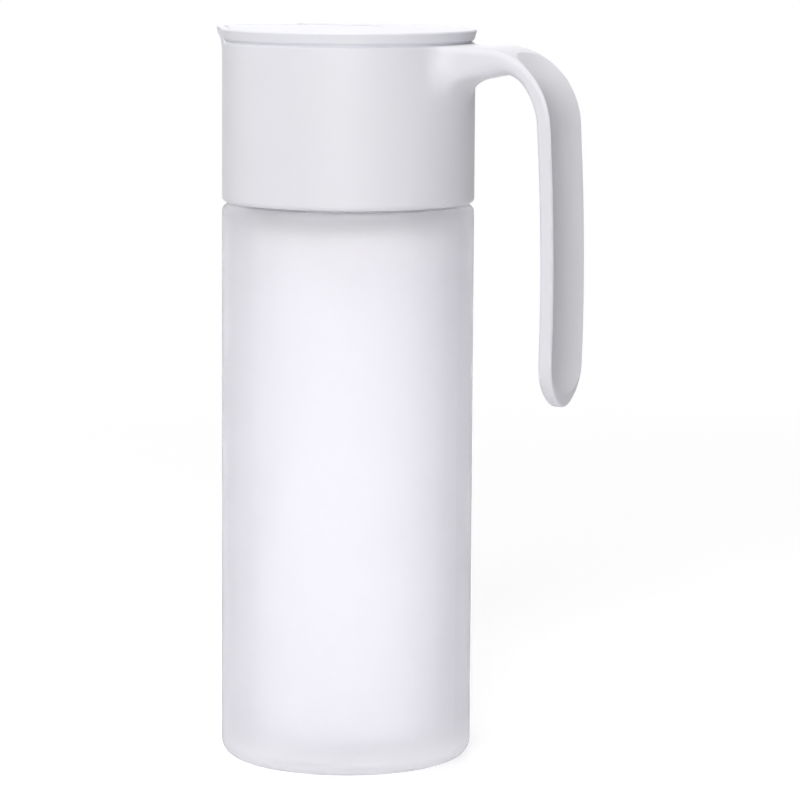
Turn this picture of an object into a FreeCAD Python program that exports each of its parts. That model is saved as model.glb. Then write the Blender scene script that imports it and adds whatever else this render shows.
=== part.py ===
import FreeCAD, Part
import math
import os
import re

import Sketcher

# An oil dispenser bottle: a frosted glass bottle, a plastic pouring head with a
# drop-shaped beak and a one-armed handle, and a lid that lies on the head.
#
# Frame: millimetres, +Z up, the origin at the centre of the glass base, the
# handle towards +X and the beak towards -X.

# ---------------------------------------------------------------- dimensions

DIMENSIONS = [
    # glass bottle
    ("glass_radius", 37.5, "outside of the glass, and of the head flush with it"),
    ("glass_height", 166.2, "base to the top of the shoulder"),
    ("glass_wall", 3.0, "side wall"),
    ("glass_floor", 6.0, "thickness of the base"),
    ("glass_shoulder", 4.0, "thickness of the shoulder"),
    ("base_round", 4.8, "rounding of the base's outer edge"),
    ("shoulder_round", 2.3, "rounding of the shoulder's outer edge"),
    ("inside_round", 6.0, "rounding inside, at floor and shoulder"),
    ("neck_radius", 25.0, "outside of the neck"),
    ("neck_wall", 3.0, "wall of the neck"),
    ("neck_height", 24.0, "shoulder to the neck's rim"),
    ("neck_round", 1.2, "rounding of the neck's rim and root"),
    # pouring head
    ("shoulder_gap", 0.7, "shadow gap between the glass and the head"),
    ("head_height", 47.3, "lower edge of the head to its rim"),
    ("head_wall", 2.2, "outer wall of the head"),
    ("head_edge_round", 1.4, "rounding of the head's lower edge"),
    ("rim_round", 0.8, "rounding of the rim and of the grip's outer edges"),
    ("floor_thickness", 3.0, "floor of the pouring chamber, which lies on the neck"),
    ("chamber_round", 4.0, "rounding of the chamber at its floor"),
    ("mouth_radius", 15.0, "pouring hole in the chamber's floor"),
    ("socket_clearance", 0.3, "neck to the skirt round it"),
    ("skirt_wall", 2.2, "wall of the skirt round the neck"),
    ("skirt_rise", 3.0, "shoulder to the skirt's lower edge"),
    ("seat_inset", 1.1, "outside of the head to the lid's seat"),
    ("seat_height", 0.6, "seat above the rim: the shadow line under the lid"),
    # beak
    ("beak_reach", 6.2, "beak beyond the head's side"),
    ("beak_angle", 38.0, "half of the beak's spread round the head, degrees"),
    ("beak_height", 3.8, "beak above the rim"),
    ("beak_drop", 2.5, "start of the beak's flare below the rim"),
    ("beak_tail", 3.0, "spread of the beak's wall past its flare, degrees"),
    ("beak_slope", 4.0, "how much narrower the wall is at its top, each side"),
    ("beak_shoulder_round", 3.0, "rounding where the wall's ends rise to its top"),
    # lid
    ("lid_thickness", 3.3, "edge of the lid"),
    ("lid_overhang", 0.4, "top edge of the lid beyond the head's side"),
    ("lid_undercut", 0.3, "lower edge of the lid inside the head's side"),
    ("lid_bevel", 0.4, "bevel of the lid's edges"),
    ("lid_clearance", 0.4, "lid to the head's wall and to the beak"),
    ("plug_depth", 6.0, "ring under the lid that centres it"),
    ("plug_clearance", 0.6, "that ring to the head's wall"),
    ("plug_wall", 2.0, "wall of that ring"),
    # handle
    ("handle_width", 20.1, "across the grip"),
    ("finger_gap", 32.4, "side of the bottle to the grip, where the fingers go"),
    ("grip_thickness", 4.4, "grip, front to back at its edges"),
    ("grip_bow_radius", 700.0, "slight outward bow of the grip"),
    ("bow_drop", 69.2, "rim to the grip's outermost point"),
    ("bend_radius", 23.2, "outer bend from the rim down into the grip"),
    ("crown_drop", 7.7, "rim to the top of the finger arch"),
    ("crown_radius", 10.5, "top of the finger arch"),
    ("root_depth", 11.6, "handle from top to underside inside the head's wall"),
    ("handle_drop", 103.8, "rim to the lower end of the grip"),
    ("tip_radius", 6.5, "point of the grip's lower end"),
    ("tip_flank_radius", 14.0, "flanks of the grip's lower end"),
    ("grip_inner_round", 1.0, "edges of the grip on the finger side"),
    ("tip_round", 1.8, "the same edges round the grip's lower end"),
    ("bend_inner_round", 1.3, "the same edges where the bend meets the finger arch"),
    ("crown_round", 3.6, "the same edges from the finger arch into the head"),
    ("arm_round", 2.6, "upper edges of the handle between the head and the bend"),
    ("root_round", 9.0, "fillet where the handle grows out of the head"),
    # thumb scoop down the outside of the grip
    ("scoop_depth", 1.8, "middle of the scoop below the grip's edges"),
    ("scoop_land", 0.45, "flat left beside the scoop at each edge"),
    ("scoop_tip_land", 3.0, "flat left below the scoop, at the tip"),
    ("scoop_start", 46.0, "where the scoop starts to run out, degrees up the bend"),
]

doc = FreeCAD.newDocument("OilDispenserBottle")
sheet = doc.addObject("Spreadsheet::Sheet", "Sizes")
for row, (alias, value, meaning) in enumerate(DIMENSIONS, start=1):
    sheet.set(f"A{row}", meaning)
    sheet.set(f"B{row}", str(value))
    sheet.setAlias(f"B{row}", alias)
doc.recompute()

# Lengths that follow from the sheet, written once and used in many places.
DERIVED = {
    "head_bottom": "(glass_height + shoulder_gap)",
    "rim": "(glass_height + shoulder_gap + head_height)",
    "neck_top": "(glass_height + neck_height)",
    "chamber_floor": "(glass_height + neck_height + floor_thickness)",
    "chamber_radius": "(glass_radius - head_wall)",
    "socket_radius": "(neck_radius + socket_clearance)",
    "skirt_radius": "(neck_radius + socket_clearance + skirt_wall)",
    "lid_bottom": "(glass_height + shoulder_gap + head_height + seat_height)",
    "lid_top": "(glass_height + shoulder_gap + head_height + seat_height + lid_thickness)",
    "scoop_radius": "(((handle_width / 2 - scoop_land) ^ 2 + scoop_depth ^ 2) / (2 * scoop_depth))",
    "scoop_low": "(tip_height + handle_width / 2 - scoop_land + scoop_tip_land)",
    "tip_height": "(glass_height + shoulder_gap + head_height - handle_drop)",
    "grip_bow_height": "(glass_height + shoulder_gap + head_height - bow_drop)",
    "handle_reach": "(glass_radius + finger_gap + grip_thickness)",
    "beak_top": "(glass_height + shoulder_gap + head_height + beak_height)",
    "beak_low": "(glass_height + shoulder_gap + head_height - beak_drop)",
    "beak_half": "(glass_radius * sin(beak_angle + beak_tail))",
}
ALIASES = {alias for alias, _, _ in DIMENSIONS}


def cells(formula):
    """Turn a formula in plain names into one that reads the sheet's cells."""
    for name, meaning in DERIVED.items():
        formula = re.sub(rf"\b{name}\b", meaning, formula)
    return re.sub(r"\b[a-z_]+\b", lambda m: f"Sizes.{m[0]}" if m[0] in ALIASES else m[0], formula)


def size(formula):
    """The value of a formula, in millimetres or degrees."""
    return float(sheet.evalExpression(cells(formula)))


# ------------------------------------------------------------ sketch helpers

UP = FreeCAD.Vector(0, 0, 1)
ORIGIN = -1          # geometry index of the sketch's origin and horizontal axis
VERTICAL_AXIS = -2
START, END, CENTRE = 1, 2, 3
TOUCH = 0.01         # two places closer than this are the same place
LEAST_CUT = 1.0      # cubic millimetres that every cut takes away at least

FRONT_VIEW = FreeCAD.Rotation(FreeCAD.Vector(1, 1, 1), 120)    # sketch x, y -> Y, Z


def body_sketch(body, name, role):
    """A sketch flat on one of the body's own origin planes."""
    sketch = body.newObject("Sketcher::SketchObject", name)
    plane = next(item for item in body.Origin.OriginFeatures if item.Role == role)
    sketch.AttachmentSupport = [(plane, "")]
    sketch.MapMode = "FlatFace"
    return sketch


def free_sketch(name, rotation=None, height="0"):
    """A sketch of its own, turned as asked and lifted to a height."""
    sketch = doc.addObject("Sketcher::SketchObject", name)
    if rotation is not None:
        sketch.Placement = FreeCAD.Placement(FreeCAD.Vector(), rotation)
    sketch.setExpression("Placement.Base.z", cells(height))
    return sketch


def add(sketch, kind, *items, formula=None, label=None):
    """Add a constraint; one with a size is named and bound to the sheet."""
    if formula is None:
        return sketch.addConstraint(Sketcher.Constraint(kind, *items))
    index = sketch.addConstraint(Sketcher.Constraint(kind, *items, size(formula)))
    sketch.renameConstraint(index, label)
    sketch.setExpression(f"Constraints.{label}", cells(formula))
    return index


def place(sketch, geometry, point, label, across, up):
    """Tie a point to its two coordinates in the sketch."""
    if across == "0":
        add(sketch, "PointOnObject", geometry, point, VERTICAL_AXIS)
    else:
        add(sketch, "DistanceX", ORIGIN, START, geometry, point, formula=across, label=f"{label}_x")
    if up == "0":
        add(sketch, "PointOnObject", geometry, point, ORIGIN)
    else:
        add(sketch, "DistanceY", ORIGIN, START, geometry, point, formula=up, label=f"{label}_y")


def arc(centre, radius, start, end):
    """An arc, anticlockwise from one angle to the other in radians."""
    return Part.ArcOfCircle(Part.Circle(centre, UP, radius), start, end)


def heading(vector):
    return math.atan2(vector.y, vector.x)


def outline(sketch, corners):
    """Draw a closed outline of straight sides. A corner is its label, its two
    coordinates and, where it is rounded, the radius; the rounding is an arc
    tangent to both sides, and the corner itself stays as a reference point."""
    count = len(corners)
    points = [FreeCAD.Vector(size(corner[1]), size(corner[2]), 0) for corner in corners]
    radii = [corner[3] if len(corner) > 3 else None for corner in corners]
    before, after = [], []
    for index, point in enumerate(points):
        back = (points[index - 1] - point).normalize()
        ahead = (points[(index + 1) % count] - point).normalize()
        reach = 0.0
        if radii[index]:
            reach = size(radii[index]) / math.tan(back.getAngle(ahead) / 2)
        before.append(point + back * reach)
        after.append(point + ahead * reach)
    sides = [
        sketch.addGeometry(Part.LineSegment(after[i], before[(i + 1) % count]), False)
        for i in range(count)
    ]
    for index, corner in enumerate(corners):
        point = points[index]
        side_in, side_out = sides[index - 1], sides[index]
        mark = sketch.addGeometry(Part.Point(point), True)
        place(sketch, mark, START, corner[0], corner[1], corner[2])
        if not radii[index]:
            add(sketch, "Coincident", side_in, END, mark, START)
            add(sketch, "Coincident", side_out, START, mark, START)
            continue
        middle = (before[index] + after[index]) * 0.5 - point
        radius = size(radii[index])
        half = (before[index] - point).getAngle(middle)
        centre = point + middle.normalize() * (radius / math.sin(half))
        start, end = heading(before[index] - centre), heading(after[index] - centre)
        turn_left = (point - before[index]).cross(after[index] - point).z > 0
        first, last = (START, END) if turn_left else (END, START)
        if not turn_left:
            start, end = end, start
        rounding = sketch.addGeometry(arc(centre, radius, start, end), False)
        add(sketch, "PointOnObject", mark, START, side_in)
        add(sketch, "PointOnObject", mark, START, side_out)
        add(sketch, "Tangent", side_in, END, rounding, first)
        add(sketch, "Tangent", rounding, last, side_out, START)
        add(sketch, "Radius", rounding, formula=radii[index], label=f"{corner[0]}_round")


# ------------------------------------------------------------ feature helpers


def new_body(name):
    body = doc.addObject("PartDesign::Body", name)
    body.Label = name
    return body


def must_cut(feature):
    """A cut that points away from the solid shows no error, so volumes are compared."""
    doc.recompute()
    if feature.BaseFeature.Shape.Volume - feature.Shape.Volume < LEAST_CUT:
        raise RuntimeError(f"{feature.Name} cuts nothing")


def turned(body, name, kind, corners):
    """Turn an outline, drawn as radius and height, round the bottle's axis."""
    sketch = body_sketch(body, f"{name}_outline", "XZ_Plane")
    outline(sketch, corners)
    doc.recompute()
    feature = body.newObject(f"PartDesign::{kind}", name)
    feature.Profile = sketch
    feature.ReferenceAxis = (sketch, ["V_Axis"])
    feature.Angle = 360
    doc.recompute()
    return feature


def boolean(kind, name, first, second):
    """Join, cut or intersect two solids."""
    result = doc.addObject(f"Part::{kind}", name)
    result.Base = first
    result.Tool = second
    doc.recompute()
    return result


def rounded(name, base, stretches):
    """Round edges of a solid. Each stretch is a test that picks its edges and the
    radii at its two ends, in the order of a walk round the handle that comes up
    its +Y side and goes down its -Y side."""
    feature = doc.addObject("Part::Fillet", name)
    feature.Base = base
    chosen = []
    for picks, first, last in stretches:
        for index, edge in enumerate(base.Shape.Edges, start=1):
            if picks(edge):
                radii = (size(first), size(last))
                chosen.append((index, *(radii if middle_of(edge).y > 0 else reversed(radii))))
    feature.Edges = chosen
    doc.recompute()
    return feature


def middle_of(edge):
    return edge.valueAt((edge.FirstParameter + edge.LastParameter) / 2)


# ---------------------------------------------------------------- the bottle

glass = new_body("glass_bottle")
turned(glass, "glass_wall_turned", "Revolution", [
    ("base_middle", "0", "0"),
    ("base_edge", "glass_radius", "0", "base_round"),
    ("shoulder_edge", "glass_radius", "glass_height", "shoulder_round"),
    ("neck_root", "neck_radius", "glass_height", "neck_round"),
    ("neck_outer", "neck_radius", "neck_top", "neck_round"),
    ("neck_inner", "neck_radius - neck_wall", "neck_top", "neck_round"),
    ("neck_throat", "neck_radius - neck_wall", "glass_height - glass_shoulder", "neck_round"),
    ("shoulder_inner", "glass_radius - glass_wall", "glass_height - glass_shoulder", "inside_round"),
    ("floor_edge", "glass_radius - glass_wall", "glass_floor", "inside_round"),
    ("floor_middle", "0", "glass_floor"),
])

# ------------------------------------------------------------- pouring head

handle_body = new_body("handle_body")
half_width = size("handle_width / 2")
inner_bow_radius = size("grip_bow_radius - grip_thickness")
inner_bend_radius = size("bend_radius - grip_thickness")

# Centres of the handle's arcs, seen from the side: the bowed grip, the bend
# that touches the rim's height, and the finger arch inside that bend.
bow_centre = FreeCAD.Vector(size("handle_reach - grip_bow_radius"), size("grip_bow_height"), 0)
bend_rise = size("rim - bend_radius - grip_bow_height")
bend_centre = bow_centre + FreeCAD.Vector(
    math.sqrt(size("grip_bow_radius - bend_radius") ** 2 - bend_rise ** 2), bend_rise, 0)
crown_rise = size("rim - crown_drop - crown_radius") - bend_centre.y
crown_centre = bend_centre + FreeCAD.Vector(
    math.sqrt((inner_bend_radius - size("crown_radius")) ** 2 - crown_rise ** 2), crown_rise, 0)


def handle_side(sketch):
    """The handle seen from the side. Two pairs of arcs share their centres, so
    the grip keeps one thickness: the bend at the top and the bowed grip below.
    The finger arch is a smaller arc inside the bend, and a straight underside
    runs from it into the head."""
    rim = size("rim")
    bow, bend = size("grip_bow_radius"), size("bend_radius")
    crown = size("crown_radius")
    inside = size("chamber_radius")
    turn = heading(bend_centre - bow_centre)
    crown_turn = heading(crown_centre - bend_centre)
    wall_point = FreeCAD.Vector(inside, rim - size("root_depth"), 0)
    to_crown = crown_centre - wall_point
    leave = math.pi / 2 + heading(to_crown) + math.asin(crown / to_crown.Length)
    low = math.asin((size("tip_height") - bow_centre.y) / bow)
    low_inner = math.asin((size("tip_height") - bow_centre.y) / inner_bow_radius)

    def on(centre, radius, angle):
        return centre + FreeCAD.Vector(radius * math.cos(angle), radius * math.sin(angle), 0)

    arch_end = on(crown_centre, crown, leave)
    top = sketch.addGeometry(Part.LineSegment(
        FreeCAD.Vector(inside, rim, 0), FreeCAD.Vector(bend_centre.x, rim, 0)), False)
    outer_bend = sketch.addGeometry(arc(bend_centre, bend, turn, math.pi / 2), False)
    outer_bow = sketch.addGeometry(arc(bow_centre, bow, low, turn), False)
    foot = sketch.addGeometry(Part.LineSegment(
        on(bow_centre, bow, low), on(bow_centre, inner_bow_radius, low_inner)), False)
    inner_bow = sketch.addGeometry(arc(bow_centre, inner_bow_radius, low_inner, turn), False)
    inner_bend = sketch.addGeometry(arc(bend_centre, inner_bend_radius, turn, crown_turn), False)
    crown_arc = sketch.addGeometry(arc(crown_centre, crown, crown_turn, leave), False)
    underside = sketch.addGeometry(Part.LineSegment(arch_end, wall_point), False)
    root = sketch.addGeometry(Part.LineSegment(wall_point, FreeCAD.Vector(inside, rim, 0)), False)

    add(sketch, "Horizontal", top)
    add(sketch, "Vertical", root)
    add(sketch, "Horizontal", foot)
    add(sketch, "Tangent", top, END, outer_bend, END)
    add(sketch, "Tangent", outer_bend, START, outer_bow, END)
    add(sketch, "Coincident", outer_bow, START, foot, START)
    add(sketch, "Coincident", foot, END, inner_bow, START)
    add(sketch, "Tangent", inner_bow, END, inner_bend, START)
    add(sketch, "Tangent", inner_bend, END, crown_arc, START)
    add(sketch, "Tangent", crown_arc, END, underside, START)
    add(sketch, "Coincident", underside, END, root, START)
    add(sketch, "Coincident", root, END, top, START)
    add(sketch, "Coincident", inner_bow, CENTRE, outer_bow, CENTRE)
    add(sketch, "Coincident", inner_bend, CENTRE, outer_bend, CENTRE)
    place(sketch, top, START, "root_top", "chamber_radius", "rim")
    place(sketch, outer_bow, CENTRE, "bow", "handle_reach - grip_bow_radius", "grip_bow_height")
    add(sketch, "Radius", outer_bow, formula="grip_bow_radius", label="bow_radius")
    add(sketch, "Radius", inner_bow, formula="grip_bow_radius - grip_thickness", label="inner_bow_radius")
    add(sketch, "Radius", outer_bend, formula="bend_radius", label="bend")
    add(sketch, "DistanceY", ORIGIN, START, crown_arc, CENTRE,
        formula="rim - crown_drop - crown_radius", label="crown_height")
    add(sketch, "Radius", crown_arc, formula="crown_radius", label="crown")
    add(sketch, "DistanceY", ORIGIN, START, root, START, formula="rim - root_depth", label="root_low")
    add(sketch, "DistanceY", ORIGIN, START, foot, START, formula="tip_height", label="tip")


side = body_sketch(handle_body, "handle_side", "XZ_Plane")
handle_side(side)
doc.recompute()
handle = handle_body.newObject("PartDesign::Pad", "handle_arm")
handle.Profile = side
handle.SideType = "Symmetric"
handle.setExpression("Length", cells("handle_width"))
doc.recompute()


def tip_outline(sketch):
    """What is cut from the lower end of the grip, seen from the front: all
    that lies outside a pointed arch of three arcs, each tangent to the next."""
    flank, point = size("tip_flank_radius"), size("tip_radius")
    tip = size("tip_height")
    margin = size("handle_width")
    run = math.sqrt((flank - point) ** 2 - (flank - half_width) ** 2)
    start = tip + point + run
    turn = math.atan2(run, flank - half_width)
    flanks = []
    for sign in (1, -1):
        centre = FreeCAD.Vector(sign * (half_width - flank), start, 0)
        first, last = (-turn, 0) if sign == 1 else (math.pi, math.pi + turn)
        flanks.append(sketch.addGeometry(arc(centre, flank, first, last), False))
    right, left = flanks
    nose = sketch.addGeometry(arc(
        FreeCAD.Vector(0, tip + point, 0), point, math.pi + turn, 2 * math.pi - turn), False)
    wide = half_width + margin
    frame = [(half_width, start), (wide, start), (wide, tip - margin),
             (-wide, tip - margin), (-wide, start), (-half_width, start)]
    frame = [FreeCAD.Vector(x, y, 0) for x, y in frame]
    lines = [sketch.addGeometry(Part.LineSegment(a, b), False) for a, b in zip(frame, frame[1:])]
    for line, next_line in zip(lines, lines[1:]):
        add(sketch, "Coincident", line, END, next_line, START)
    for line, way in zip(lines, ("Horizontal", "Vertical", "Horizontal", "Vertical", "Horizontal")):
        add(sketch, way, line)
    add(sketch, "Coincident", right, END, lines[0], START)
    add(sketch, "Coincident", left, START, lines[-1], END)
    add(sketch, "Tangent", nose, END, right, START)
    add(sketch, "Tangent", nose, START, left, END)
    add(sketch, "PointOnObject", nose, CENTRE, VERTICAL_AXIS)
    add(sketch, "Horizontal", right, CENTRE, right, END)
    add(sketch, "Horizontal", left, CENTRE, left, START)
    add(sketch, "Radius", nose, formula="tip_radius", label="point")
    add(sketch, "Radius", right, formula="tip_flank_radius", label="right_flank")
    add(sketch, "Radius", left, formula="tip_flank_radius", label="left_flank")
    add(sketch, "DistanceX", ORIGIN, START, right, END, formula="handle_width / 2", label="half_right")
    add(sketch, "DistanceX", ORIGIN, START, left, START, formula="-handle_width / 2", label="half_left")
    add(sketch, "DistanceY", ORIGIN, START, nose, CENTRE, formula="tip_height + tip_radius", label="tip")
    for index, label, sign in ((0, "frame_right", 1), (3, "frame_left", -1)):
        add(sketch, "DistanceX", ORIGIN, START, lines[index], END,
            formula=f"{sign} * (handle_width / 2 + handle_width)", label=label)
    add(sketch, "DistanceY", ORIGIN, START, lines[2], START,
        formula="tip_height - handle_width", label="frame_low")


ends = body_sketch(handle_body, "grip_end_outline", "YZ_Plane")
tip_outline(ends)
doc.recompute()
grip_end = handle_body.newObject("PartDesign::Pocket", "grip_end")
grip_end.Profile = ends
grip_end.Type = "ThroughAll"
grip_end.SideType = "Symmetric"
must_cut(grip_end)


def side_arc(centre, radius):
    """A test for edges that run along an arc of the handle's side."""
    def chosen(edge):
        middle = middle_of(edge)
        away = math.hypot(middle.x - centre.x, middle.z - centre.y)
        return abs(away - radius) < TOUCH and abs(abs(middle.y) - half_width) < TOUCH
    return chosen


def underside(edge):
    """The straight edges from the finger arch into the head."""
    middle = middle_of(edge)
    level = abs(edge.tangentAt(edge.FirstParameter).z) < TOUCH
    inward = size("chamber_radius") + TOUCH < middle.x < crown_centre.x
    return inward and not level and middle.z < size("rim") - TOUCH and not arch(edge)


def tip_on_finger_side(edge):
    middle = middle_of(edge)
    depth = math.hypot(middle.x - bow_centre.x, middle.z - bow_centre.y) - inner_bow_radius
    return depth < TOUCH and middle.z < size("tip_height") + half_width


arch = side_arc(crown_centre, size("crown_radius"))
finger_edges = rounded("finger_edges", handle_body, [
    (tip_on_finger_side, "tip_round", "tip_round"),
    (side_arc(bow_centre, inner_bow_radius), "grip_inner_round", "grip_inner_round"),
    (side_arc(bend_centre, inner_bend_radius), "grip_inner_round", "bend_inner_round"),
    (arch, "bend_inner_round", "crown_round"),
    (underside, "crown_round", "crown_round"),
])

collar_body = new_body("collar_body")
turned(collar_body, "collar_turned", "Revolution", [
    ("low_middle", "0", "head_bottom"),
    ("low_edge", "glass_radius", "head_bottom", "head_edge_round"),
    ("rim_outer", "glass_radius", "rim"),
    ("seat_foot", "glass_radius - seat_inset", "rim"),
    ("seat_edge", "glass_radius - seat_inset", "lid_bottom"),
    ("top_middle", "0", "lid_bottom"),
])
sharp_head = boolean("Fuse", "sharp_head", finger_edges, collar_body)


def at_head_side(edge):
    middle = middle_of(edge)
    return abs(math.hypot(middle.x, middle.y) - size("glass_radius")) < TOUCH


def at_root(edge):
    """Where the handle's sides and underside meet the head's side."""
    middle = middle_of(edge)
    seam = abs(middle.y) < TOUCH and abs(edge.tangentAt(edge.FirstParameter).z) > 1 - TOUCH
    low, high = size("head_bottom + head_edge_round"), size("rim")
    return at_head_side(edge) and not seam and low + TOUCH < middle.z < high - TOUCH


def at_rim_height(edge):
    return abs(middle_of(edge).z - size("rim")) < TOUCH


def rim_circle(edge):
    return at_rim_height(edge) and at_head_side(edge)


def rim_to_arm(edge):
    """The upper edges of the fillets, from the rim to the handle."""
    middle = middle_of(edge)
    outside = math.hypot(middle.x, middle.y) > size("glass_radius") + TOUCH
    return at_rim_height(edge) and outside and abs(middle.y) > half_width + TOUCH


def arm_top(edge):
    return at_rim_height(edge) and abs(abs(middle_of(edge).y) - half_width) < TOUCH


root = rounded("handle_root", sharp_head, [(at_root, "root_round", "root_round")])
rim_edge = rounded("rim_edge", root, [
    (rim_circle, "rim_round", "rim_round"),
    (rim_to_arm, "arm_round", "rim_round"),
    (arm_top, "arm_round", "arm_round"),
    (side_arc(bend_centre, size("bend_radius")), "rim_round", "arm_round"),
    (side_arc(bow_centre, size("grip_bow_radius")), "rim_round", "rim_round"),
])
head_body = new_body("head_body")
head_body.BaseFeature = rim_edge
doc.recompute()


def scoop_path(sketch):
    """The line that the scoop's round cutter follows: beside the bowed grip,
    round the bend, and then straight on, so that the scoop runs out."""
    lift = size("scoop_radius - scoop_depth")
    bow, bend = size("grip_bow_radius") + lift, size("bend_radius") + lift
    turn = heading(bend_centre - bow_centre)
    low = math.asin((size("scoop_low") - bow_centre.y) / bow)
    leave = math.radians(size("scoop_start"))
    out = FreeCAD.Vector(math.cos(leave), math.sin(leave), 0)
    along = FreeCAD.Vector(-out.y, out.x, 0)
    grip = sketch.addGeometry(arc(bow_centre, bow, low, turn), False)
    over = sketch.addGeometry(arc(bend_centre, bend, turn, leave), False)
    away_start = bend_centre + out * bend
    away = sketch.addGeometry(Part.LineSegment(
        away_start, away_start + along * size("bend_radius")), False)
    add(sketch, "Tangent", grip, END, over, START)
    add(sketch, "Tangent", over, END, away, START)
    place(sketch, grip, CENTRE, "bow", "handle_reach - grip_bow_radius", "grip_bow_height")
    add(sketch, "Radius", grip, formula="grip_bow_radius + scoop_radius - scoop_depth", label="bow_radius")
    add(sketch, "Radius", over, formula="bend_radius + scoop_radius - scoop_depth", label="bend")
    add(sketch, "DistanceY", ORIGIN, START, over, CENTRE, formula="rim - bend_radius", label="bend_height")
    add(sketch, "DistanceY", ORIGIN, START, grip, START, formula="scoop_low", label="low")
    add(sketch, "DistanceY", over, CENTRE, over, END,
        formula="(bend_radius + scoop_radius - scoop_depth) * sin(scoop_start)", label="leave")
    add(sketch, "Distance", away, formula="bend_radius", label="away")


SCOOP_X = (
    "handle_reach - grip_bow_radius + sqrt((grip_bow_radius + scoop_radius - scoop_depth) ^ 2"
    " - (scoop_low - grip_bow_height) ^ 2)"
)
path = body_sketch(head_body, "scoop_path", "XZ_Plane")
scoop_path(path)
cutter = body_sketch(head_body, "scoop_cutter", "XY_Plane")
cutter.setExpression("AttachmentOffset.Base.z", cells("scoop_low"))
ring = cutter.addGeometry(Part.Circle(
    FreeCAD.Vector(size(SCOOP_X), 0, 0), UP, size("scoop_radius")), False)
place(cutter, ring, CENTRE, "middle", SCOOP_X, "0")
add(cutter, "Radius", ring, formula="scoop_radius", label="radius")
doc.recompute()
scoop = head_body.newObject("PartDesign::SubtractivePipe", "scoop")
scoop.Profile = cutter
scoop.Spine = path
must_cut(scoop)
scoop_end = head_body.newObject("PartDesign::SubtractiveSphere", "scoop_end")
scoop_end.setExpression("Radius", cells("scoop_radius"))
scoop_end.AttachmentSupport = cutter.AttachmentSupport
scoop_end.MapMode = "FlatFace"
scoop_end.setExpression("AttachmentOffset.Base.x", cells(SCOOP_X))
scoop_end.setExpression("AttachmentOffset.Base.z", cells("scoop_low"))
must_cut(scoop_end)

hollow = turned(head_body, "head_hollow", "Groove", [
    ("low_middle", "0", "glass_height"),
    ("low_edge", "chamber_radius", "glass_height"),
    ("gap_top", "chamber_radius", "neck_top"),
    ("skirt_top", "skirt_radius", "neck_top"),
    ("skirt_outer", "skirt_radius", "glass_height + skirt_rise"),
    ("skirt_inner", "socket_radius", "glass_height + skirt_rise"),
    ("socket_top", "socket_radius", "neck_top"),
    ("mouth_low", "mouth_radius", "neck_top"),
    ("mouth_high", "mouth_radius", "chamber_floor"),
    ("chamber_low", "chamber_radius", "chamber_floor", "chamber_round"),
    ("chamber_top", "chamber_radius", "beak_top"),
    ("top_middle", "0", "beak_top"),
])
must_cut(hollow)

# -------------------------------------------------------------------- beak

# How the beak opens above its round start: share of its height, share of its reach.
FLARE = ((0.33, 0.15), (0.6, 0.48), (0.79, 0.87), (1.0, 1.0))
FLANK_START = 3    # degrees of the round start that each flank grows from


def beak_start(name, inset):
    """The round of the head where the beak starts, in the four pieces that its
    back, nose and two flanks grow from."""
    sketch = free_sketch(name, height="beak_low")
    wide = size(f"glass_radius - {inset}")
    outer = math.radians(size("beak_angle"))
    inner = math.radians(size("beak_angle") - FLANK_START)
    turns = (math.pi + outer, 3 * math.pi - outer, 3 * math.pi - inner, 3 * math.pi + inner)
    pieces = [
        sketch.addGeometry(arc(FreeCAD.Vector(), wide, start, end), False)
        for start, end in zip(turns, turns[1:] + (3 * math.pi + outer,))
    ]
    for index, piece in enumerate(pieces):
        add(sketch, "Coincident", piece, CENTRE, ORIGIN, START)
        join = "Coincident" if index else "Horizontal"
        add(sketch, join, pieces[index - 1], END, piece, START)
    add(sketch, "Radius", pieces[0], formula=f"glass_radius - {inset}", label="round")
    for index, (sign, angle) in enumerate((
            (-1, "beak_angle"), (1, "beak_angle"),
            (1, f"(beak_angle - {FLANK_START})"), (-1, f"(beak_angle - {FLANK_START})"))):
        add(sketch, "DistanceY", ORIGIN, START, pieces[index], START,
            formula=f"{sign} * (glass_radius - {inset}) * sin({angle})", label=f"split_{index}")
    return sketch


def beak_section(name, share, reach_share, inset):
    """The drop-shaped outline of the beak at one height, seen from above: the
    round of the head, and a nose whose flanks leave that round at beak_angle."""
    height = f"beak_low + {share} * (beak_height + beak_drop)"
    reach = f"({reach_share} * beak_reach)"
    nose_x = f"{reach} / (1 - cos(beak_angle))"
    nose_radius = f"glass_radius + {reach} - {nose_x} - {inset}"
    sketch = free_sketch(name, height=height)
    spread = math.radians(size("beak_angle"))
    middle = FreeCAD.Vector(-size(nose_x), 0, 0)
    wide = size(f"glass_radius - {inset}")
    back = sketch.addGeometry(arc(
        FreeCAD.Vector(), wide, math.pi + spread, 3 * math.pi - spread), False)
    nose = sketch.addGeometry(arc(
        middle, size(nose_radius), math.pi - spread, math.pi + spread), False)
    flanks = []
    for sign, far, near in ((1, START, END), (-1, END, START)):
        leave = FreeCAD.Vector(-math.cos(spread), sign * math.sin(spread), 0)
        flanks.append(sketch.addGeometry(Part.LineSegment(
            leave * wide, middle + leave * size(nose_radius)), False))
        add(sketch, "Tangent", back, near, flanks[-1], START)
        add(sketch, "Tangent", flanks[-1], END, nose, far)
    place(sketch, back, CENTRE, "back", "0", "0")
    place(sketch, nose, CENTRE, "nose", f"-{nose_x}", "0")
    add(sketch, "Radius", back, formula=f"glass_radius - {inset}", label="back")
    add(sketch, "Radius", nose, formula=nose_radius, label="nose")
    return sketch


def beak_solid(name, inset):
    """The flared drop shape, inset from the beak's outside."""
    loft = doc.addObject("Part::Loft", name)
    loft.Sections = [beak_start(f"{name}_start", inset)] + [
        beak_section(f"{name}_section_{index}", share, reach_share, inset)
        for index, (share, reach_share) in enumerate(FLARE)
    ]
    loft.Solid = True
    doc.recompute()
    return loft


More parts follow.
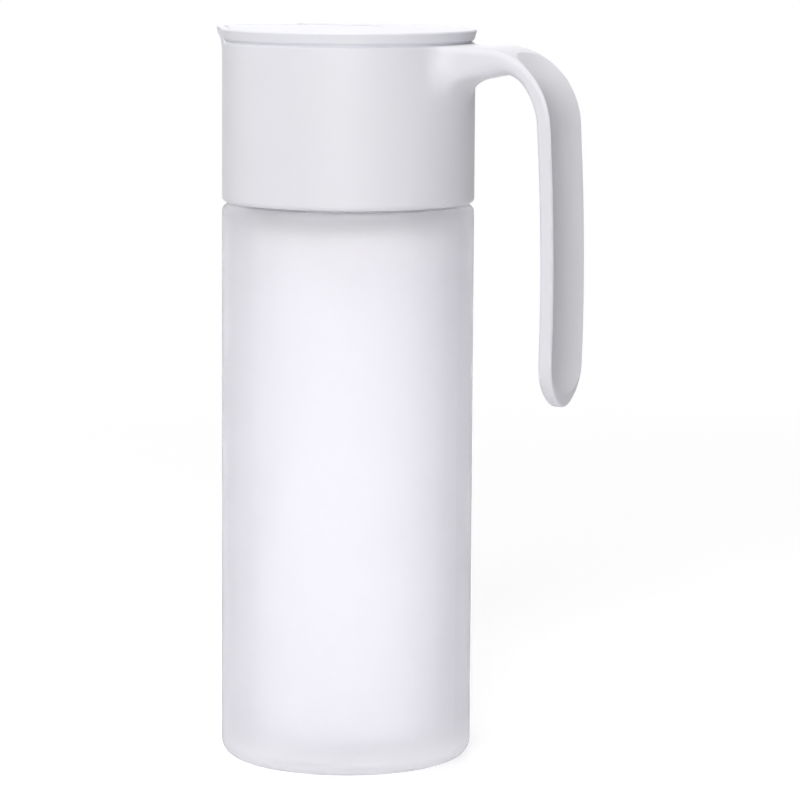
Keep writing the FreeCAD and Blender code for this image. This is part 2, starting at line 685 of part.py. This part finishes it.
def beak_span(name, gap, low, corner=None):
    """The part of the bottle's beak side that the beak's wall takes up, with
    ends that slope in towards the top; gap widens it on every side, and corner
    is the rounding where the ends meet the top."""
    sketch = free_sketch(f"{name}_outline", FRONT_VIEW)
    half_low, half_top = f"beak_half + {gap}", f"beak_half - beak_slope + {gap}"
    top = f"beak_top + {gap}"
    outline(sketch, [
        ("low_left", f"-({half_low})", low),
        ("low_right", half_low, low),
        ("rim_right", half_low, f"rim - {gap}"),
        ("top_right", half_top, top, corner),
        ("top_left", f"-({half_top})", top, corner),
        ("rim_left", f"-({half_low})", f"rim - {gap}"),
    ])
    block = doc.addObject("Part::Extrusion", name)
    block.Base = sketch
    block.DirMode = "Custom"
    block.Dir = FreeCAD.Vector(-1, 0, 0)
    block.setExpression("LengthFwd", cells("2 * glass_radius"))
    block.Solid = True
    doc.recompute()
    return block


span = beak_span("beak_span", "0", "beak_low", "beak_shoulder_round")
beak_outer = boolean("Common", "beak_outer", beak_solid("beak_flare", "0"), span)
beak_wall = boolean("Cut", "beak_wall", beak_outer, beak_solid("beak_channel", "head_wall"))
head_open = boolean("Cut", "head_open", head_body, span)
head = boolean("Fuse", "pouring_head", head_open, beak_wall)
head.Refine = True

# --------------------------------------------------------------------- lid

lid_body = new_body("lid_plate")
turned(lid_body, "lid_turned", "Revolution", [
    ("low_middle", "0", "lid_bottom"),
    ("low_edge", "glass_radius - lid_undercut - lid_bevel", "lid_bottom"),
    ("side_low", "glass_radius - lid_undercut", "lid_bottom + lid_bevel"),
    ("side_high", "glass_radius + lid_overhang", "lid_top - lid_bevel"),
    ("top_edge", "glass_radius + lid_overhang - lid_bevel", "lid_top"),
    ("top_middle", "0", "lid_top"),
])
lid_span = beak_span("lid_span", "lid_clearance", "rim - lid_clearance - beak_drop")
lid_flange = boolean("Cut", "lid_flange", lid_body, lid_span)

slab = doc.addObject("Part::Cylinder", "lid_slab")
slab.setExpression("Radius", cells("2 * glass_radius"))
slab.setExpression("Height", cells("lid_thickness"))
slab.setExpression("Placement.Base.z", cells("lid_bottom"))
lid_nose = boolean("Common", "lid_nose", beak_solid("lid_drop", "(head_wall + lid_clearance)"), slab)

plug_body = new_body("lid_plug")
turned(plug_body, "plug_turned", "Revolution", [
    ("inner_low", "chamber_radius - plug_clearance - plug_wall", "lid_bottom - plug_depth"),
    ("outer_low", "chamber_radius - plug_clearance", "lid_bottom - plug_depth"),
    ("outer_high", "chamber_radius - plug_clearance", "lid_bottom + lid_thickness / 2"),
    ("inner_high", "chamber_radius - plug_clearance - plug_wall", "lid_bottom + lid_thickness / 2"),
])
lid = doc.addObject("Part::MultiFuse", "lid")
lid.Shapes = [lid_flange, lid_nose, plug_body]
lid.Refine = True
doc.recompute()

# ------------------------------------------------------------------- output

NODES = {"glass_bottle": glass, "pouring_head": head, "lid": lid}

for item in doc.Objects:
    if "Invalid" in item.State or "Error" in item.State:
        raise RuntimeError(f"{item.Name} failed: {item.State}")
for name, item in NODES.items():
    item.Label = name
    if item.Shape.isNull() or not item.Shape.isValid() or len(item.Shape.Solids) != 1:
        raise RuntimeError(f"{name} is not one valid solid")

os.makedirs("parts", exist_ok=True)
for name, item in NODES.items():
    item.Shape.exportStep(f"parts/{name}.step")
    box = item.Shape.optimalBoundingBox()
    print(f"{name}: {item.Shape.Volume / 1000:.1f} cm3, x {box.XMin:.1f} to {box.XMax:.1f},",
          f"y {box.YMin:.1f} to {box.YMax:.1f}, z {box.ZMin:.1f} to {box.ZMax:.1f}")
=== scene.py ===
# %% [markdown]
# # A frosted oil bottle with a pouring head
#
# The bottle is three things: a body of etched glass, a head of white plastic with a
# beak and a one-armed handle, and a flat plastic lid. Their construction comes from
# CAD as a fixed frame, at real size and in metres, so this lesson is about the rest:
# what each surface is made of, the floor, the light and the camera.

# %% Load the frame
import math

import bpy
import numpy as np
from mathutils import Matrix, Vector

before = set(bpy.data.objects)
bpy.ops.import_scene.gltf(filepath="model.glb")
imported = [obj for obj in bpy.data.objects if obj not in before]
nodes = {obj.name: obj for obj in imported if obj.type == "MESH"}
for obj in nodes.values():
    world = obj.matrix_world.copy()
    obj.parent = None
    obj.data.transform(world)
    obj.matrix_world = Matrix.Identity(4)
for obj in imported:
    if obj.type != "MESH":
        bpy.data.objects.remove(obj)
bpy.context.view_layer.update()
scene = bpy.context.scene

# %% [markdown]
# ## A small language for finishes
#
# A finish is a tree of shader nodes. It could be wired one link at a time, but then
# the idea drowns in wiring. Here a Wire is one socket, and Python's own operators on
# wires add the Math nodes, so a pattern reads as a sum. The reflected forms let a
# plain number stand first, as in 0.5 + 0.1 * pattern.

# %% Wires that add up
class Wire:
    """One output socket of a finish, which takes part in Python expressions."""

    def __init__(self, finish, socket):
        self.finish = finish
        self.socket = socket

    def combine(self, operation, other):
        settings = {"operation": operation}
        return self.finish.node("ShaderNodeMath", settings, {0: self, 1: other})

    def __add__(self, other):
        return self.combine("ADD", other)

    def __mul__(self, other):
        return self.combine("MULTIPLY", other)

    __radd__ = __add__
    __rmul__ = __mul__


print("a wire can be added and multiplied, with a number or a wire on either side")

# %% [markdown]
# Every other node is made by one method. It takes the node's type, then its settings,
# then the value or wire of each socket. Settings come first because some of them, such
# as the data type of a Mix node, change which sockets the node has.

# %% One method that makes every node
class Finish:
    """A node tree, of a material or of the world, built up by calls to node."""

    def __init__(self, owner):
        owner.use_nodes = True
        self.owner = owner
        self.tree = owner.node_tree
        self.tree.nodes.clear()

    def node(self, kind, settings, sockets, output=0):
        """Add a node, and give back the wire of the named or numbered output."""
        made = self.tree.nodes.new(kind)
        for name, value in settings.items():
            if name == "stops":
                self.set_stops(made.color_ramp, value)
            else:
                setattr(made, name, value)
        for name, value in sockets.items():
            if isinstance(value, Wire):
                self.tree.links.new(value.socket, made.inputs[name])
            else:
                made.inputs[name].default_value = value
        return Wire(self, made.outputs[output]) if made.outputs else made

    def set_stops(self, ramp, stops):
        """Give a ramp its stops, as pairs of a place and a grey value."""
        while len(ramp.elements) < len(stops):
            ramp.elements.new(1.0)
        for element, (place, value) in zip(ramp.elements, stops):
            element.position = place
            element.color = (value, value, value, 1.0)

    def done(self, shader, kind="ShaderNodeOutputMaterial"):
        """Join the last shader to the output, and give back what was finished."""
        self.node(kind, {}, {"Surface": shader})
        print(self.owner.name, "has", len(self.tree.nodes), "nodes")
        return self.owner


def material(name):
    return Finish(bpy.data.materials.new(name))


print("a finish starts empty and grows by one node at a time")

# %% [markdown]
# ## Patterns that all the finishes share
#
# Each pattern is read at the point's own place on the object, in metres. A pattern in
# picture or camera terms would slide as the view turns. This one is fixed to the
# surface, and its sizes can be given as on the real thing: a blotch 3 cm wide, or a
# bump a third of a millimetre wide.

# %% Patterns
GRAIN_DETAIL = 2.0
CLOUD_DETAIL = 3.0
# A Mix node has one set of sockets for each data type. These are the colours'.
MIX_FIRST, MIX_SECOND, MIX_RESULT = 6, 7, 2


def place(finish):
    """Where a point lies on the object, in metres."""
    return finish.node("ShaderNodeTexCoord", {}, {}, "Object")


def clouds(finish, size, detail=CLOUD_DETAIL):
    """Soft variation between 0 and 1, in blotches about size wide."""
    sockets = {"Vector": place(finish), "Scale": 1 / size, "Detail": detail}
    return finish.node("ShaderNodeTexNoise", {}, sockets, "Fac")


def between(finish, value, low, high):
    """How far a value has come from low to high, from 0 to 1, eased at both ends."""
    settings = {"interpolation_type": "SMOOTHSTEP"}
    sockets = {"Value": value, "From Min": low, "From Max": high}
    return finish.node("ShaderNodeMapRange", settings, sockets)


def grain(finish, size, depth, strength):
    """A normal that fine bumps tilt a little, each about size wide."""
    height = clouds(finish, size, GRAIN_DETAIL)
    sockets = {"Height": height, "Distance": depth, "Strength": strength}
    return finish.node("ShaderNodeBump", {}, sockets, "Normal")


def blend(finish, share, first, second):
    """A colour that goes from the first to the second as share goes from 0 to 1."""
    sockets = {"Factor": share, MIX_FIRST: first, MIX_SECOND: second}
    return finish.node("ShaderNodeMix", {"data_type": "RGBA"}, sockets, MIX_RESULT)


print("patterns:", ", ".join(made.__name__ for made in (place, clouds, between, grain, blend)))

# %% [markdown]
# ## Etched glass
#
# The body is soda-lime glass whose outside has been etched with acid. The etch leaves
# pits too small to see, so light goes through but is scattered on the way, and the
# body glows softly, like milk with a drop of blue. Pale paint would give the colour
# and look like plastic, and clear glass with a very rough surface turns grey, because
# some light is lost at each wall. The finish is a mix of both: most of the light goes
# through, and the rest comes back from the pale etched skin.
#
# Where the wall is seen at a slant, more glass lies along the line of sight, and the
# colour is painted darker towards the sides, as painted shade, and a little lighter
# again at the very edge, as a painted rim of light. It sinks low down too, where the
# base is thick. Just under the head it is painted a little paler, as painted light,
# because the dark inside of the head would otherwise show there as a broad grey band.

# %% Colours of the glass
GLASS_BODY = (0.957, 0.952, 0.975, 1.0)
# Painted shade, for a wall seen at a slant.
PAINTED_SLANT_SHADE = (0.822, 0.817, 0.842, 1.0)
GLASS_BASE = (0.870, 0.865, 0.890, 1.0)
# Painted light just under the head, against the shade of the head's dark inside.
GLASS_SHOULDER_LIGHT = (0.995, 0.990, 1.0, 1.0)
# How much of the painted slant shade shows, from a wall seen face on (0) to edge on (1); the
# last stop paints a lighter rim at the very edge.
SLANT_SHADE_STOPS = ((0.0, 0.0), (0.12, 0.0), (0.25, 0.3), (0.38, 0.75), (0.58, 1.0), (0.85, 0.6))
# Heights in metres.
BASE_DEPTH = 0.018
SHOULDER_LOW = 0.146
SHOULDER_HIGH = 0.161


def glass_tint_and_painted_shading(finish):
    """Body colour, painted paler at the shoulder as painted light, painted darker at a slant
    as painted shade, and darker in the base.
    """
    facing = finish.node("ShaderNodeLayerWeight", {}, {"Blend": 0.5}, "Facing")
    # Painted shade at a slant, and a painted rim of light at the very edge.
    slant = finish.node("ShaderNodeValToRGB", {"stops": SLANT_SHADE_STOPS}, {"Fac": facing})
    height = finish.node("ShaderNodeSeparateXYZ", {}, {"Vector": place(finish)}, "Z")
    # Painted light: paler from SHOULDER_LOW to SHOULDER_HIGH, just under the head.
    shoulder = between(finish, height, SHOULDER_LOW, SHOULDER_HIGH)
    straight = blend(finish, shoulder, GLASS_BODY, GLASS_SHOULDER_LIGHT)
    wall = blend(finish, slant, straight, PAINTED_SLANT_SHADE)
    return blend(finish, between(finish, height, 0.0, BASE_DEPTH), GLASS_BASE, wall)


print("from", BASE_DEPTH, "to", SHOULDER_LOW, "m up, the glass has its plain body colour")

# %% [markdown]
# The etch is what makes the glass rough. Its roughness is near the top of the scale and
# drifts a little, in clouds 3 cm wide, as acid never bites quite evenly. The bumps
# stand for that unevenness at a finer scale, a third of a millimetre wide and at most
# a tenth deep, so they read as a bloom and not as a texture. What is the same all
# over, such as how much light goes through, is a plain number on the shader.

# %% Finish of the glass
GLASS_CLOUDS = 0.030
GLASS_GRAIN = 0.00035
GLASS_GRAIN_DEPTH = 0.0001
GLASS_ROUGH = 0.82
ROUGH_DRIFT = 0.06


def etched_glass():
    finish = material("etched_glass_finish")
    return finish.done(finish.node("ShaderNodeBsdfPrincipled", {}, {
        "Base Color": glass_tint_and_painted_shading(finish),
        "Roughness": GLASS_ROUGH + ROUGH_DRIFT * clouds(finish, GLASS_CLOUDS),
        "IOR": 1.5,
        "Transmission Weight": 0.8,
        "Normal": grain(finish, GLASS_GRAIN, GLASS_GRAIN_DEPTH, 0.25),
    }))


def dress(piece, surface):
    piece.data.materials.clear()
    piece.data.materials.append(surface)
    print(piece.name, "wears", surface.name)


dress(nodes["glass_bottle"], etched_glass())

# %% [markdown]
# ## Satin plastic
#
# The head and the lid are moulded in white polypropylene. The steel mould is blasted
# with fine grit, and the plastic copies it: a satin surface that shows no mirror image.
# White plastic isn't one flat colour either. Where the melt flowed slowly it is a shade
# darker and a little duller, in blotches a finger wide. It could be painted with two
# materials and a mask, but one pattern that drives both colour and roughness keeps them
# in step. One function serves both pieces. The lid is a little whiter than the head.

# %% Finish of the head and the lid
FLOW_CLOUDS = 0.020
FLOW_SHADE = 0.985
MOULD_GRAIN = 0.0004
MOULD_GRAIN_DEPTH = 0.00008


def grey(value, blue=1.0):
    """A grey as a colour. More blue makes it cooler."""
    return (value, value, value * blue, 1.0)


def satin_plastic(name, white, roughness):
    finish = material(name)
    flow = clouds(finish, FLOW_CLOUDS)
    return finish.done(finish.node("ShaderNodeBsdfPrincipled", {}, {
        "Base Color": blend(finish, flow, grey(white, 1.06), grey(white * FLOW_SHADE, 1.05)),
        "Roughness": roughness + ROUGH_DRIFT * flow,
        "IOR": 1.49,
        "Normal": grain(finish, MOULD_GRAIN, MOULD_GRAIN_DEPTH, 0.15),
    }))


dress(nodes["pouring_head"], satin_plastic("head_plastic_finish", 0.815, 0.42))
dress(nodes["lid"], satin_plastic("lid_plastic_finish", 0.84, 0.46))

# %% [markdown]
# ## A pale floor
#
# The floor is a plain flat sheet, wide enough for its edges to stay out of sight. It
# is a surface in numpy: two shares from 0 to 1 go in, and a point comes out. A
# function of two parameters makes any smooth sheet, and the same few lines join its
# grid of points into four-sided faces. A round sheet would need a closed middle just
# where the bottle stands, so this one is square.

# %% Shape of the floor
FLOOR_SIDE = 24.0
FLOOR_STEPS = 24


def sheet(name, point, steps):
    """A mesh of point(u, v) on a grid, where u and v both run from 0 to 1."""
    share = np.linspace(0, 1, steps + 1)
    u, v = np.meshgrid(share, share, indexing="ij")
    points = np.stack(point(u, v), axis=-1).reshape(-1, 3)
    corner = np.arange(u.size).reshape(u.shape)
    ring = (corner[:-1, :-1], corner[1:, :-1], corner[1:, 1:], corner[:-1, 1:])
    faces = np.stack(ring, axis=-1).reshape(-1, 4)
    mesh = bpy.data.meshes.new(name)
    mesh.from_pydata(points.tolist(), [], faces.tolist())
    piece = bpy.data.objects.new(name, mesh)
    scene.collection.objects.link(piece)
    print(name, "has", len(mesh.polygons), "faces")
    return piece


def flat_square(u, v):
    """Each share less a half, times the side, at height 0."""
    return FLOOR_SIDE * (u - 0.5), FLOOR_SIDE * (v - 0.5), 0 * u


floor = sheet("floor", flat_square, FLOOR_STEPS)

# %% [markdown]
# A pale floor that is lit like everything else comes out grey beside a white backdrop.
# A stronger lamp would bleach the bottle as well, so the floor is told apart by who
# looks at it. To the light that falls on the bottle it is plain matt grey. To the eye
# it is the same matt surface, shadow included, with a steady glow on top, and farther
# out it turns by degrees into the white of the backdrop.

# %% Finish of the floor
FLOOR_MATT = grey(0.82)
FLOOR_GLOW = 0.43
FADE_START = 0.25
FADE_END = 0.9
BRIGHT = grey(1.0)


def seen_by_eye(finish):
    """At least 1 for a line of sight, straight, mirrored or through glass, else 0."""
    kinds = ("Is Camera Ray", "Is Glossy Ray", "Is Transmission Ray")
    rays = [finish.node("ShaderNodeLightPath", {}, {}, kind) for kind in kinds]
    return rays[0] + rays[1] + rays[2]


def glowing(finish, strength):
    return finish.node("ShaderNodeEmission", {}, {"Color": BRIGHT, "Strength": strength})


def mixed(finish, share, first, second):
    return finish.node("ShaderNodeMixShader", {}, {0: share, 1: first, 2: second})


def floor_finish():
    finish = material("floor_finish")
    length = {"operation": "LENGTH"}
    away = finish.node("ShaderNodeVectorMath", length, {0: place(finish)}, "Value")
    matt = finish.node("ShaderNodeBsdfDiffuse", {}, {"Color": FLOOR_MATT})
    near = finish.node("ShaderNodeAddShader", {}, {0: matt, 1: glowing(finish, FLOOR_GLOW)})
    fade = between(finish, away, FADE_START, FADE_END)
    shown = mixed(finish, fade, near, glowing(finish, 1.0))
    return finish.done(mixed(finish, seen_by_eye(finish), matt, shown))


dress(floor, floor_finish())

# %% [markdown]
# ## The backdrop
#
# The backdrop follows the same rule. The eye sees plain white all round, and matt
# surfaces get no light from it: their light comes from the lamps, so their shades can
# be set one lamp at a time. Gloss and glass do see it, as they would in a white room.

# %% World and view
def backdrop(finish, strength):
    return finish.node("ShaderNodeBackground", {}, {"Color": BRIGHT, "Strength": strength})


def studio_world():
    finish = Finish(bpy.data.worlds.new("studio"))
    shown = mixed(finish, seen_by_eye(finish), backdrop(finish, 0.0), backdrop(finish, 1.0))
    return finish.done(shown, "ShaderNodeOutputWorld")


scene.world = studio_world()
scene.view_settings.view_transform = "Standard"
print("view:", scene.view_settings.view_transform)

# %% [markdown]
# ## Soft lamps
#
# White on white is drawn by shade alone. Four wide softboxes face the bottle. The one
# on the left makes each round shape fall off towards its right side, and the one in
# front keeps that side open. The one above brightens the lid and the top of the
# handle, and the one behind lights the back. They are set by turn and rise as seen
# from the camera, because that is how a studio is arranged.

# %% Lamps
BEARING = math.radians(30)
MIDDLE = Vector((0, 0, 0.12))
to_camera = Vector((math.sin(BEARING), -math.cos(BEARING), 0))
to_left = Vector((-math.cos(BEARING), -math.sin(BEARING), 0))
LAMPS = (
    # name, turn to the left and rise (degrees), distance, width, height (m), watts
    ("side_lamp", 105, 20, 1.8, 0.9, 1.4, 7.7),
    ("front_lamp", 5, 20, 1.8, 0.9, 1.4, 20.2),
    ("top_lamp", 40, 86, 1.5, 1.4, 1.4, 14.0),
    ("back_lamp", 180, 25, 1.8, 1.6, 1.4, 6.0),
)


def softbox(name, turn, rise, distance, width, height, watts):
    """A wide soft lamp that faces the middle of the bottle."""
    turn, rise = math.radians(turn), math.radians(rise)
    level = to_camera * math.cos(turn) + to_left * math.sin(turn)
    way = level * math.cos(rise) + Vector((0, 0, math.sin(rise)))
    lamp = bpy.data.lights.new(name, "AREA")
    lamp.shape = "RECTANGLE"
    lamp.size, lamp.size_y, lamp.energy = width, height, watts
    box = bpy.data.objects.new(name, lamp)
    box.location = MIDDLE + way * distance
    box.rotation_euler = way.to_track_quat("Z", "Y").to_euler()
    scene.collection.objects.link(box)
    print(name, watts, "watts, at height", round(box.location.z, 2), "m")


for lamp_settings in LAMPS:
    softbox(*lamp_settings)

# %% [markdown]
# ## The camera
#
# The handle points to +X, and the camera stands 30 degrees round from the side view,
# so the beak, the round of the body and the trough of the handle all show. A long lens
# from over a metre away keeps the upright edges nearly parallel. It looks down a few
# degrees, enough to see the lid as a thin oval.

# %% Camera
LOOK_DOWN = math.radians(7.62)
ROLL = math.radians(0.3545)
CAMERA_AWAY = 1.1772
CAMERA_RIGHT = 0.01578
CAMERA_HEIGHT = 0.2648

camera = bpy.data.objects.new("camera", bpy.data.cameras.new("camera"))
camera.data.sensor_width = 36.0
camera.data.lens = 178.506
camera.data.clip_start = 0.05
camera.data.clip_end = 50.0
level_place = to_camera * CAMERA_AWAY - to_left * CAMERA_RIGHT
camera.location = level_place + Vector((0, 0, CAMERA_HEIGHT))
turned = Matrix.Rotation(BEARING, 4, "Z")
tilted = Matrix.Rotation(math.pi / 2 - LOOK_DOWN, 4, "X")
rolled = Matrix.Rotation(ROLL, 4, "Z")
camera.rotation_euler = (turned @ tilted @ rolled).to_euler()
scene.collection.objects.link(camera)
scene.camera = camera
print("camera", round(camera.location.length, 3), "m from the bottle's foot")
